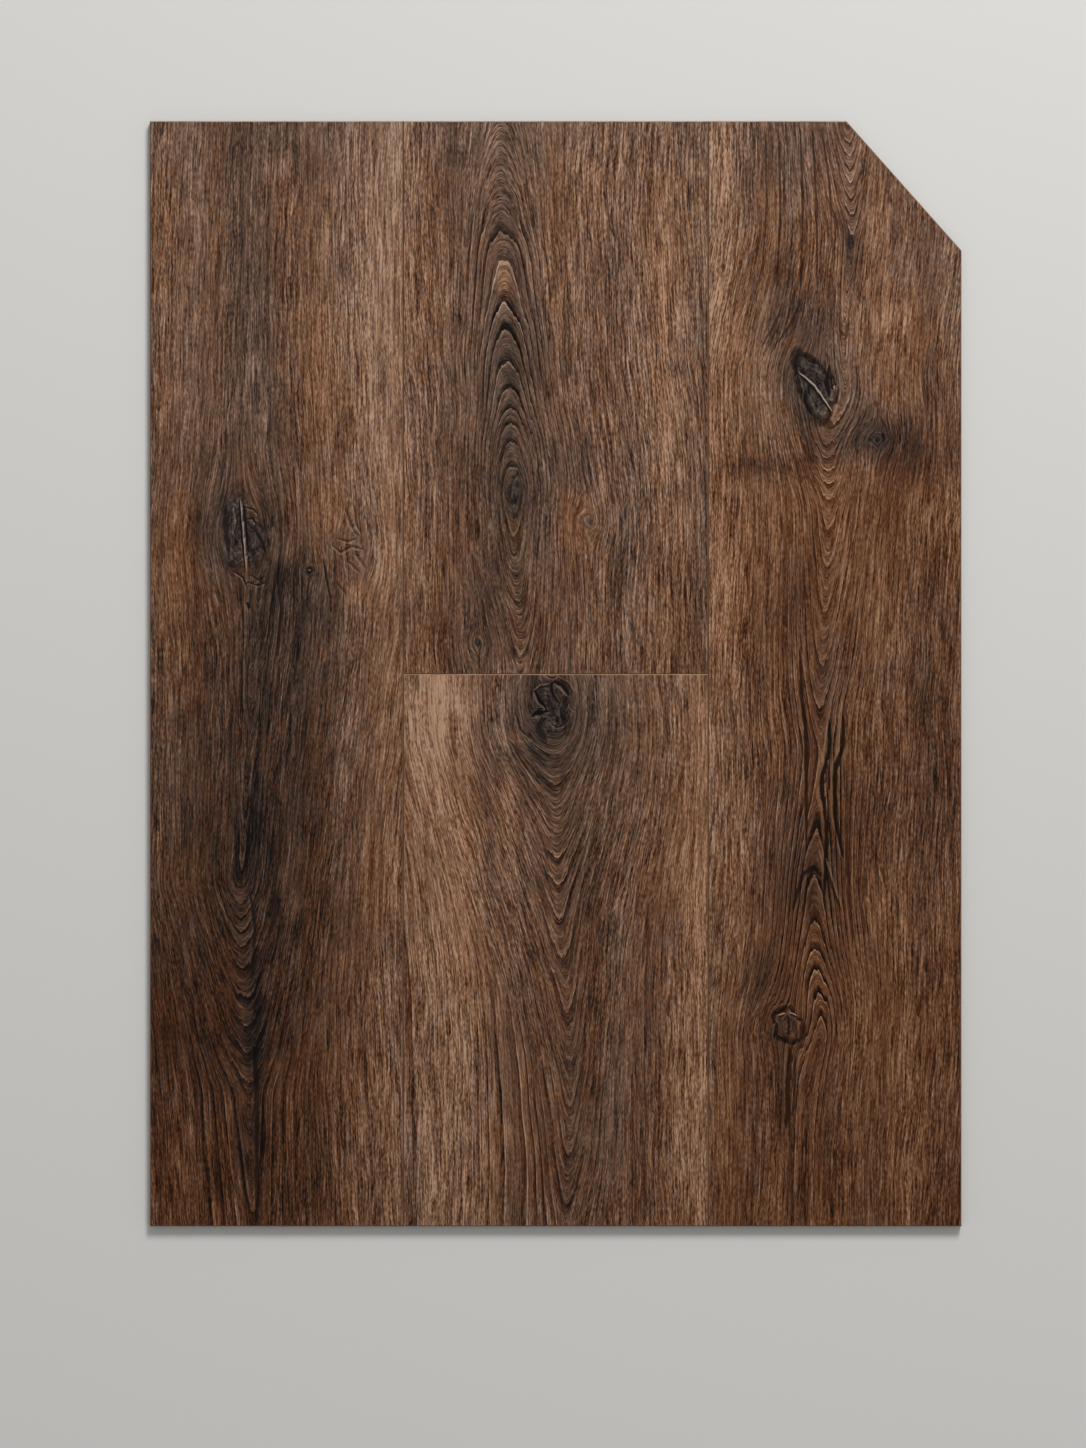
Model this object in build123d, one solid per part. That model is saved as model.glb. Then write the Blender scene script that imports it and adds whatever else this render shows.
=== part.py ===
"""Sample panel of rigid vinyl floor planks, clicked together and sawn to one outline.

The panel lies flat with its printed face up. X runs across the planks, Y along them and Z up.
The origin is on the underside, at the centre of the uncut rectangle. All sizes are in millimetres.
"""

import os

from build123d import *

# The panel's outline
PANEL_WIDTH = 479.0
PANEL_LENGTH = 652.5
CORNER_CUT_WIDTH = 68.0
CORNER_CUT_LENGTH = 76.5
EDGE_EASE = 0.6

# The planks
PLANK_WIDTH = 180.0
PLANK_THICKNESS = 5.0
UPPER_PLANK_LENGTH = 326.5
MICRO_BEVEL = 0.5

# The click joint: a tongue in a groove, and a ridge on the groove's lower lip that locks it
FACE_LIP = 1.8
TONGUE_THICKNESS = 1.2
TONGUE_LENGTH = 2.6
TONGUE_TIP_CHAMFER = 0.4
LIP_LENGTH = 4.8
RIDGE_WIDTH = 2.4
RIDGE_HEIGHT = 0.7
RIDGE_SLOPE = 0.5
RIDGE_CHAMFER = 0.25
JOINT_PLAY = 0.08

# Stock outside the outline, which the saw takes off
SAW_WASTE = 20.0

half_width = PANEL_WIDTH / 2
half_length = PANEL_LENGTH / 2
seam = PLANK_WIDTH / 2
end_joint = half_length - UPPER_PLANK_LENGTH
tongue_top = PLANK_THICKNESS - FACE_LIP
tongue_bottom = tongue_top - TONGUE_THICKNESS
lip_top = tongue_bottom - JOINT_PLAY
ridge_top = lip_top + RIDGE_HEIGHT
ridge_root = LIP_LENGTH - RIDGE_WIDTH
ridge_crest = ridge_root + RIDGE_SLOPE


# An edge is a list of corners (across, height) from the printed face down to the underside.
# The joint edges have their face arris at 0, with the tongue's plank on the positive side.


def tongue_edge():
    """The edge with the tongue, and under it the pocket that takes the other plank's lip."""
    pocket_top = ridge_top + JOINT_PLAY
    pocket_end = LIP_LENGTH + JOINT_PLAY
    return [
        (MICRO_BEVEL, PLANK_THICKNESS),
        (0, PLANK_THICKNESS - MICRO_BEVEL),
        (0, tongue_top),
        (-TONGUE_LENGTH + TONGUE_TIP_CHAMFER, tongue_top),
        (-TONGUE_LENGTH, tongue_top - TONGUE_TIP_CHAMFER),
        (-TONGUE_LENGTH, tongue_bottom + TONGUE_TIP_CHAMFER),
        (-TONGUE_LENGTH + TONGUE_TIP_CHAMFER, tongue_bottom),
        (ridge_root - JOINT_PLAY, tongue_bottom),
        (ridge_crest - JOINT_PLAY, pocket_top),
        (pocket_end, pocket_top),
        (pocket_end, 0),
    ]


def groove_edge():
    """The edge with the groove, and below it the lip that carries the locking ridge."""
    groove_end = -TONGUE_LENGTH - JOINT_PLAY
    return [
        (-MICRO_BEVEL, PLANK_THICKNESS),
        (0, PLANK_THICKNESS - MICRO_BEVEL),
        (0, tongue_top + JOINT_PLAY),
        (groove_end, tongue_top + JOINT_PLAY),
        (groove_end, lip_top),
        (ridge_root, lip_top),
        (ridge_crest, ridge_top),
        (LIP_LENGTH - RIDGE_CHAMFER, ridge_top),
        (LIP_LENGTH, ridge_top - RIDGE_CHAMFER),
        (LIP_LENGTH, 0),
    ]


def uncut_edge():
    """A square edge in the waste, outside the outline."""
    return [(0, PLANK_THICKNESS), (0, 0)]


def placed(edge, at):
    return [(across + at, height) for across, height in edge]


def turned(edge):
    return [(-across, height) for across, height in edge]


def section(low_edge, high_edge):
    """The plank's section between two edges that are already in place."""
    return make_face(Polyline(*low_edge, *reversed(high_edge), close=True))


def milled_lengthwise(low_edge, high_edge):
    """Long stock with these edges along Y."""
    return extrude(Plane.XZ * section(low_edge, high_edge), half_length + SAW_WASTE, both=True)


def milled_across(low_edge, high_edge):
    """Wide stock with these edges along X, for the planks' ends."""
    return extrude(Plane.YZ * section(low_edge, high_edge), half_width + SAW_WASTE, both=True)


def sawn_outline():
    """The whole panel's outer shape: a rectangle with one clipped corner and an eased top arris."""
    outline = Polygon(
        (-half_width, -half_length),
        (half_width, -half_length),
        (half_width, half_length - CORNER_CUT_LENGTH),
        (half_width - CORNER_CUT_WIDTH, half_length),
        (-half_width, half_length),
        align=None,
    )
    blank = extrude(outline, PLANK_THICKNESS)
    rim = blank.faces().sort_by(Axis.Z)[-1].edges()
    return chamfer(rim, EDGE_EASE)


def without_chips(stock):
    """The plank alone. Milling a ridge across a tongue cuts a small chip free, which falls away."""
    return stock.solids().sort_by(SortBy.VOLUME)[-1]


def build_planks():
    """Each plank is its milled stock, kept inside the panel's sawn outline."""
    outline = sawn_outline()
    left_waste = placed(uncut_edge(), -half_width - SAW_WASTE)
    right_waste = placed(uncut_edge(), half_width + SAW_WASTE)
    lower_waste = placed(uncut_edge(), -half_length - SAW_WASTE)
    upper_waste = placed(uncut_edge(), half_length + SAW_WASTE)

    left = milled_lengthwise(left_waste, placed(groove_edge(), -seam))
    middle = milled_lengthwise(placed(tongue_edge(), -seam), placed(groove_edge(), seam))
    right = milled_lengthwise(placed(tongue_edge(), seam), right_waste)
    upper_end = milled_across(placed(turned(groove_edge()), end_joint), upper_waste)
    lower_end = milled_across(lower_waste, placed(turned(tongue_edge()), end_joint))

    return {
        "left_plank": outline & left,
        "upper_middle_plank": without_chips(outline & middle & upper_end),
        "lower_middle_plank": without_chips(outline & middle & lower_end),
        "right_plank": outline & right,
    }


os.makedirs("parts", exist_ok=True)
for name, plank in build_planks().items():
    export_step(plank, f"parts/{name}.step")
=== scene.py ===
# %% [markdown]
# # A sample panel of vinyl floor planks
# Four rigid vinyl planks, clicked together and sawn to one flat panel with a clipped corner. The solids come
# from the CAD frame. This lesson gives them their looks: an oak print with growth rings, knots and cracks,
# a grain pressed into the face, painted edges and a plain core where the saw went through.

# %% Load the planks
import math

import bmesh
import bpy
import numpy as np
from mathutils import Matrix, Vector


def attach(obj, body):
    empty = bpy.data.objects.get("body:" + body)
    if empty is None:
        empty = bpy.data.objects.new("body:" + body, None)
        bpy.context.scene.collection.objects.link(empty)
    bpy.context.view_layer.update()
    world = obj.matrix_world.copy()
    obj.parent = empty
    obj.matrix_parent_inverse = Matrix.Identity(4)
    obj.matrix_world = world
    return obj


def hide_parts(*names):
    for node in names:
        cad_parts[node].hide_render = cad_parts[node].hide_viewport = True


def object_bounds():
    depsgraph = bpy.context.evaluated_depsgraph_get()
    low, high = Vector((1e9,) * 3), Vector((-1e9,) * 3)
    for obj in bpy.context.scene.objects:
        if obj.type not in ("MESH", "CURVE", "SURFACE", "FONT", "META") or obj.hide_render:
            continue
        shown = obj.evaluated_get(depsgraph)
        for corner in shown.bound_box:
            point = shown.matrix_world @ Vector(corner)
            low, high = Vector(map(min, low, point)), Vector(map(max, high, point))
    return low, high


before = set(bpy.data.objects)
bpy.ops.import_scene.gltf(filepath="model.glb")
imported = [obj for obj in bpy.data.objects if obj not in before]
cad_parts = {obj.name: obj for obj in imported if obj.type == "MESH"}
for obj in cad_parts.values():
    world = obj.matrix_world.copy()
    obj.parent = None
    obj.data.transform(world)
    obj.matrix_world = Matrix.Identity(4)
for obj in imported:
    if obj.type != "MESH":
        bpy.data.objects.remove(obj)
cad_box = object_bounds()
print("planks:", ", ".join(sorted(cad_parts)))

# %% [markdown]
# ## The camera
# The photo looks straight down, a little left of the panel's middle and a little below it. A long lens three
# metres up keeps the outline square, as it is in the photo.

# %% Camera
FACE_HEIGHT = cad_box[1][2]
CAMERA_LEFT = 0.0075
CAMERA_BELOW = 0.0297
CAMERA_HEIGHT = 3.0
CAMERA_REACH = 20.0
VIEW_HEIGHT = 0.8546
SENSOR = 36.0

camera = bpy.data.objects.new("camera", bpy.data.cameras.new("camera"))
camera.location = (-CAMERA_LEFT, -CAMERA_BELOW, FACE_HEIGHT + CAMERA_HEIGHT)
camera.data.sensor_width = SENSOR
camera.data.lens = SENSOR * CAMERA_HEIGHT / VIEW_HEIGHT
camera.data.clip_end = CAMERA_REACH
bpy.context.scene.collection.objects.link(camera)
bpy.context.scene.camera = camera
print("lens:", round(camera.data.lens, 1), "mm")

# %% [markdown]
# ## Floor and light
# A plain pale floor and a soft light. One large lamp stands low beyond the panel's top edge, a little to the
# right, because the photo's shadows fall down and to the left. A low lamp also grazes the face, so that
# the pressed grain shows. The sky fills in the rest. Together they add up to a level of about one.

# %% Floor and light
FLOOR_DROP = 0.0004
FLOOR_SIZE = 6.0
FLOOR_COLOUR = (0.62, 0.61, 0.59, 1.0)
SKY_STRENGTH = 0.42
LAMP_POWER = 82.0
LAMP_SIZE = 1.1
LAMP_PLACE = Vector((0.75, 2.3, 1.9))

floor_mesh = bpy.data.meshes.new("floor")
bm = bmesh.new()
bmesh.ops.create_grid(bm, x_segments=1, y_segments=1, size=FLOOR_SIZE)
bmesh.ops.translate(bm, verts=bm.verts, vec=(0.0, 0.0, -FLOOR_DROP))
bm.to_mesh(floor_mesh)
bm.free()
floor = bpy.data.objects.new("floor", floor_mesh)
bpy.context.scene.collection.objects.link(floor)
floor_paint = bpy.data.materials.new("pale floor")
floor_paint.use_nodes = True
floor_shader = floor_paint.node_tree.nodes["Principled BSDF"]
floor_shader.inputs["Base Color"].default_value = FLOOR_COLOUR
floor_shader.inputs["Roughness"].default_value = 0.9
floor_shader.inputs["Specular IOR Level"].default_value = 0.1
floor_mesh.materials.append(floor_paint)

sky = bpy.data.worlds.new("sky")
sky.use_nodes = True
sky_light = sky.node_tree.nodes["Background"]
sky_light.inputs["Color"].default_value = (1.0, 1.0, 1.0, 1.0)
sky_light.inputs["Strength"].default_value = SKY_STRENGTH
bpy.context.scene.world = sky

lamp = bpy.data.objects.new("lamp", bpy.data.lights.new("lamp", "AREA"))
lamp.data.shape = "DISK"
lamp.data.size = LAMP_SIZE
lamp.data.energy = LAMP_POWER
lamp.location = LAMP_PLACE
lamp.rotation_euler = (-LAMP_PLACE).to_track_quat("-Z", "Y").to_euler()
bpy.context.scene.collection.objects.link(lamp)
bpy.context.scene.view_settings.view_transform = "Standard"
print("lamp", LAMP_POWER, "W, sky", SKY_STRENGTH)

# %% [markdown]
# ## Soft noise
# Wood is never regular, so every line needs a little randomness. Blender has noise textures for shaders,
# but the mesh needs the same kind of randomness for its relief. This small function gives it: random values
# on a lattice, blended smoothly between the lattice points. The seed is fixed, so each run gives the same
# planks.

# %% Noise for the mesh
LATTICE = 64
LATTICE_SEED = 11

lattice_values = np.random.default_rng(LATTICE_SEED).uniform(-1.0, 1.0, (LATTICE, LATTICE, LATTICE))


def soft_step(low, high, value):
    """Goes smoothly from 0 at low to 1 at high."""
    share = np.clip((value - low) / (high - low), 0.0, 1.0)
    return share * share * (3.0 - 2.0 * share)


def soft_noise(a, b, c):
    """Noise from -1 to 1. One unit is one step of the lattice."""
    point = np.broadcast_arrays(a, b, c)
    corner = [np.floor(value).astype(int) for value in point]
    share = [soft_step(0.0, 1.0, value - low) for value, low in zip(point, corner)]
    total = 0.0
    for step in np.ndindex(2, 2, 2):
        weight = 1.0
        for part, up in zip(share, step):
            weight = weight * (part if up else 1.0 - part)
        total = total + weight * lattice_values[tuple((low + up) % LATTICE for low, up in zip(corner, step))]
    return total


def drawn_noise(x, y, seed, across, along):
    """Soft noise in marks of about these lengths, in millimetres across the plank and along it."""
    return soft_noise(x / across, y / along, seed)


print("noise lattice:", LATTICE, "steps each way")

# %% [markdown]
# ## What each plank's print shows
# The print is oak, sawn so that the growth rings lie nearly flat in the face. Along one line of each plank,
# its spine, the rings come out as nested arches, and away from the spine they run straight. Every knot pushes
# the lines apart. All of that can be said with listed places, in millimetres in the panel's own frame. An
# image on the face would be quicker, but its grain could not be pressed, moved or drawn any finer.
#
# The left plank comes first. It darkens towards its lower end. A large knot lies above its middle, split by a
# crack with a painted highlight on one edge, and narrow arches point down in its lower half.

# %% The left plank's print
# spine: y, x, lift, reach, round. Arches point down where lift falls with y, and up where it grows with y.
#     Reach is how far from the spine they go, and round how blunt they are.
# step: how much of the field one ring takes up. stray: how unevenly the rings are spaced.
# rings: y, strength of the bold ring lines near the spine.
# bold: x, y, half width, half length, strength of the ring lines in areas beside the spine.
# levels: y, lightness, warmth of the plank as a whole.
# knots: x, y, half width, half length, lean, how far it parts the grain, darkness, outline.
# cracks: points from end to end, half width, how strong the painted highlight is on the edge to the right of
#     the points, how dark the gap to their left is. The boldest straight lines of the grain are listed here
#     too, and so are a few short painted glints.
# patches: x, y, half width, half length, lightness, warmth. Near a knot, x is where it was before the push.
PRINTS = {}


def count_features(plank):
    about = PRINTS[plank]
    print(plank, {feature: len(about[feature]) for feature in ("knots", "cracks", "patches")})


PRINTS["left_plank"] = dict(
    seed=3.0,
    step=8.0,
    stray=0.9,
    spine=[
        (326, -172, -86, 45, 6), (150, -176, -86, 45, 6), (20, -176, -84, 45, 6),
        (-124, -184, -80, 42, 6), (-245, -181, -6, 28, 4), (-326, -178, 0, 24, 4),
    ],
    rings=[(326, 0.3), (120, 0.4), (20, 0.4), (-90, 0.3), (-140, 0.9), (-250, 1.0), (-326, 0.6)],
    bold=[(-202, -270, 18, 60, 0.3)],
    levels=[
        (326, 0.55, -0.6), (270, 0.54, -0.2), (150, 0.53, -0.2), (60, 0.46, -0.2),
        (0, 0.42, 0.0), (-100, 0.37, 0.1), (-200, 0.34, 0.3), (-326, 0.36, 0.4),
    ],
    knots=[
        (-186, 82, 13, 23, 0.0, 21, 0.5, 0.4),
        (-145.5, 61, 2.2, 2.4, 0.0, 5, 0.8, 0.5),
        (-117, 74, 5, 14, 0.2, 8, 0.1, 0.0),
    ],
    cracks=[
        ([(-182.8, 60), (-184.6, 82), (-186.4, 103)], 0.8, 0.95, 1.0),
        ([(-184.7, 101), (-182.9, 82), (-181.1, 62)], 0.8, 0.0, 0.9),
        ([(-190, 99), (-188.6, 90), (-190.6, 81)], 0.8, 0.35, 0.5),
        ([(-195, 98), (-197.5, 88), (-194, 72)], 2.4, 0.1, 0.5),
        ([(-183, 98), (-178.6, 96.5), (-176, 93.5)], 0.8, 0.4, 0.7),
        ([(-182, 91), (-179, 91), (-176.6, 87)], 0.8, 0.4, 0.7),
        ([(-179, 86), (-175, 79), (-171.5, 71)], 1.2, 0.1, 0.7),
        ([(-180, 73), (-179.6, 69)], 2.0, 0.0, 0.6),
        ([(-191, 60.5), (-185, 56.5), (-182.5, 50)], 0.7, 0.5, 0.7),
        ([(-180.5, 58), (-175.5, 55), (-171, 57.5)], 0.7, 0.2, 0.7),
        ([(-182, 54), (-176, 51.5), (-171, 53.5)], 0.7, 0.3, 0.7),
        ([(-182.8, 42), (-181.6, 38)], 1.4, 0.0, 0.9),
        ([(-165, 58), (-163, 38), (-165, 10)], 1.2, 0.1, 0.5),
        ([(-137.5, 68), (-136, 56), (-133.5, 44)], 0.9, 0.15, 0.6),
        # a painted glint on the pin knot, listed as a short crack
        ([(-146, 61.8), (-145, 61.2)], 0.7, 1.0, 0.3),
        ([(-124.5, 97), (-121.5, 88), (-117.5, 81.5)], 1.2, 0.45, 0.4),
        ([(-119.5, 100), (-118.4, 89), (-115, 82)], 1.0, 0.4, 0.4),
        ([(-132, 75.5), (-127, 71), (-120.5, 74.5), (-113, 73)], 1.0, 0.45, 0.4),
        ([(-129, 79.5), (-122.5, 77.5), (-117, 80)], 0.9, 0.4, 0.4),
        ([(-119, 71), (-112.5, 62)], 1.2, 0.45, 0.3),
        ([(-123, 66), (-116, 59.5)], 1.1, 0.4, 0.3),
        ([(-129.5, 53), (-123.5, 46)], 0.9, 0.35, 0.3),
        ([(-181, -128), (-178.5, -150), (-180, -180)], 1.2, 0.1, 0.5),
        ([(-179, -219), (-177.6, -250), (-177.6, -322)], 1.6, 0.1, 0.6),
    ],
    patches=[
        (-97, 0, 27, 900, 0.25, 0.2), (-218, 230, 18, 120, 0.07, 0.3), (-239, 160, 5, 70, -0.1, -0.8),
        (-176, 230, 17, 120, -0.09, -0.5), (-190, 84, 12, 24, -0.06, -1.2), (-182.6, 67, 1.6, 6, 0.1, 1.4),
        (-166, 58, 12, 10, -0.2, -0.9), (-154, 44, 18, 14, -0.08, -0.6), (-160, 10, 24, 60, -0.08, -0.5),
        (-156, -70, 24, 80, -0.08, -0.3), (-176, -150, 10, 110, -0.1, -0.4), (-178, -92, 7, 34, -0.12, -0.9),
        (-176, -222, 8, 22, -0.14, -0.7), (-178, -275, 6, 60, -0.12, -0.4), (-156, -200, 14, 120, -0.05, 0.0),
        (-212, 66, 14, 40, 0.08, 1.2), (-168, 100, 10, 18, -0.07, 0.2), (-212, -190, 16, 120, -0.05, 0.0),
        (-134, -240, 9, 90, 0.04, 0.2), (-143, 180, 12, 60, 0.04, 0.6), (-114, 76, 7, 20, 0.08, 0.3),
        (-222, -300, 18, 40, 0.04, 0.5), (-124, 150, 11, 260, 0.1, 0.0), (-124, -90, 9, 40, 0.09, 0.0),
        (-192, -190, 13, 120, -0.1, 0.0), (-225, -40, 12, 60, 0.06, -0.3), (-185, 322, 14, 25, -0.1, 0.0),
        (-194, 130, 10, 25, -0.06, -0.2), (-140, 98, 9, 14, 0.05, 0.9), (-123, 48, 8, 9, 0.08, 0.9),
    ],
)
count_features("left_plank")

# %% [markdown]
# ## The upper middle plank's print
# A pale plank. Blunt arches point up in its upper half, down to a narrow knot, and below the knot they point
# down. It has no cracks.

# %% The upper middle plank's print
PRINTS["upper_middle_plank"] = dict(
    seed=17.0,
    step=3.6,
    stray=0.15,
    spine=[
        (326, -31, 9, 24, 16), (290, -31, 6, 24, 16), (261, -30, 2, 24, 16), (246, -29, -1.6, 24, 16),
        (217, -29, -5.2, 25, 16), (203, -28, -8.8, 25, 16), (185, -28, -12.4, 26, 16),
        (171, -27, -16, 26, 16), (157, -26, -19.6, 26, 16), (140, -25, -24, 28, 14),
        (108, -23, -31, 28, 13), (70, -23, -23, 28, 10), (0, -22, -6, 26, 8),
    ],
    rings=[(326, 0.0), (276, 0.1), (258, 1.6), (150, 1.7), (120, 0.8), (60, 0.6), (0, 0.6)],
    bold=[],
    levels=[(326, 0.61, -0.5), (290, 0.62, 0.1), (200, 0.6, -0.1), (100, 0.56, -0.1), (0, 0.52, 0.1)],
    knots=[
        (-23.5, 106, 3.5, 12, 0.0, 3, 0.4, 0.3),
        (-46, 18, 2.2, 2.2, 0.0, 6, 0.6, 0.4),
        (19, 90, 2.5, 4, 0.3, 7, 0.4, 0.3),
    ],
    cracks=[],
    patches=[
        (-88, 160, 13, 260, 0.1, 0.3), (-26, 130, 26, 90, -0.1, -0.8), (-28, 250, 13, 60, -0.1, -0.9),
        (-27, 190, 13, 34, -0.06, -0.5), (-24, 108, 14, 20, -0.07, -0.4), (-29, 231, 4.5, 13, 0.19, 1.6),
        (-24, 84, 6, 7, 0.03, 1.4), (-54, 40, 24, 90, -0.05, 0.0), (-50, 26, 26, 10, -0.06, 0.0),
        (14, 122, 16, 14, -0.08, -0.6), (42, 120, 7, 100, -0.05, -0.5), (60, 190, 14, 170, 0.08, 0.5),
        (62, 250, 8, 34, 0.04, 0.4), (86, 160, 5, 220, -0.07, -0.4), (10, 88, 9, 22, 0.09, 1.0),
        (-48, 250, 14, 90, -0.14, -0.2), (-18, 170, 16, 160, -0.06, 0.0), (47, 200, 8, 70, 0.08, 0.0),
        (49, 60, 8, 34, 0.07, -0.2),
    ],
)
count_features("upper_middle_plank")

# %% [markdown]
# ## The lower middle plank's print
# A large knot with several cracks lies just below the seam. Under it the arches point down, and bold straight
# lines run on both sides of them.

# %% The lower middle plank's print
PRINTS["lower_middle_plank"] = dict(
    seed=29.0,
    step=7.0,
    stray=0.8,
    spine=[
        (0, -6, -104, 60, 12), (-42, -4, -100, 60, 12), (-85, 1, -76, 54, 6), (-130, 3, -54, 42, 4),
        (-180, 6, -36, 29, 3), (-240, 6, -20, 23, 3), (-326, 6, 0, 19, 3),
    ],
    rings=[(0, 0.3), (-45, 0.25), (-75, 0.35), (-100, 0.7), (-140, 0.9), (-200, 0.8), (-326, 0.8)],
    bold=[(-26, -265, 17, 85, 1.7), (-86, -170, 7, 150, 1.0)],
    levels=[(0, 0.6, 0.2), (-100, 0.56, 0.3), (-200, 0.53, 0.3), (-326, 0.51, 0.3)],
    knots=[(-4.5, -21, 12, 18, 0.0, 19, 0.45, 0.5)],
    cracks=[
        ([(-13, -10.5), (-11, -15.5), (-6, -21)], 1.3, 0.35, 1.0),
        ([(-14, -25.8), (-9, -24.2), (-4, -22.4)], 1.8, 0.3, 1.0),
        ([(2.6, -17.5), (-1.4, -10.5), (-1.8, -5)], 1.2, 0.1, 0.95),
        ([(-2, -5), (3, -7.5), (7.4, -13.5)], 1.4, 0.5, 0.9),
        ([(-3.5, -6.2), (-8.5, -7), (-13, -10)], 0.9, 0.5, 0.6),
        ([(2.6, -19), (2.4, -24), (3.4, -28)], 0.9, 0.15, 0.7),
        ([(11.5, -12), (7, -5), (1, -2)], 0.8, 0.35, 0.4),
        ([(-5, -41), (-6.5, -34), (-8, -27)], 2.8, 0.1, 0.45),
        ([(-9, -25), (-3, -29.4), (0, -32.4), (4, -31.4), (8, -27.5)], 0.7, 0.35, 0.4),
        ([(-23.5, -24), (-21.5, -33), (-15, -39)], 0.9, 0.2, 0.5),
        ([(7.5, -18), (9.6, -21.5), (12, -22.4)], 0.6, 0.4, 0.3),
        ([(-27, -40), (-21.5, -51), (-15, -60)], 1.0, 0.15, 0.6),
    ],
    patches=[
        (-68, -26, 22, 46, 0.24, 0.1), (-66, -180, 24, 170, 0.19, 0.0), (-5, -21, 19, 23, -0.16, -2.2),
        (10, -16, 14, 22, -0.04, -0.8), (-14, -52, 22, 20, -0.12, -0.4), (-50, -14, 13, 14, 0.1, 0.0),
        (-52, -105, 9, 50, 0.07, 0.0), (82, -295, 9, 36, 0.12, 0.0), (0, -220, 24, 130, -0.04, -0.2),
        (14, -54, 12, 16, -0.06, 0.0), (-16.5, -38.5, 5, 5, 0.09, 1.4), (12, -110, 26, 70, -0.09, -0.4),
        (20, -250, 36, 110, -0.05, -0.2), (-24, -82, 7, 34, 0.05, 0.2), (86, -160, 14, 300, 0.14, 0.4),
        (50, -245, 8, 80, -0.1, -0.2),
    ],
)
count_features("lower_middle_plank")
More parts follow.
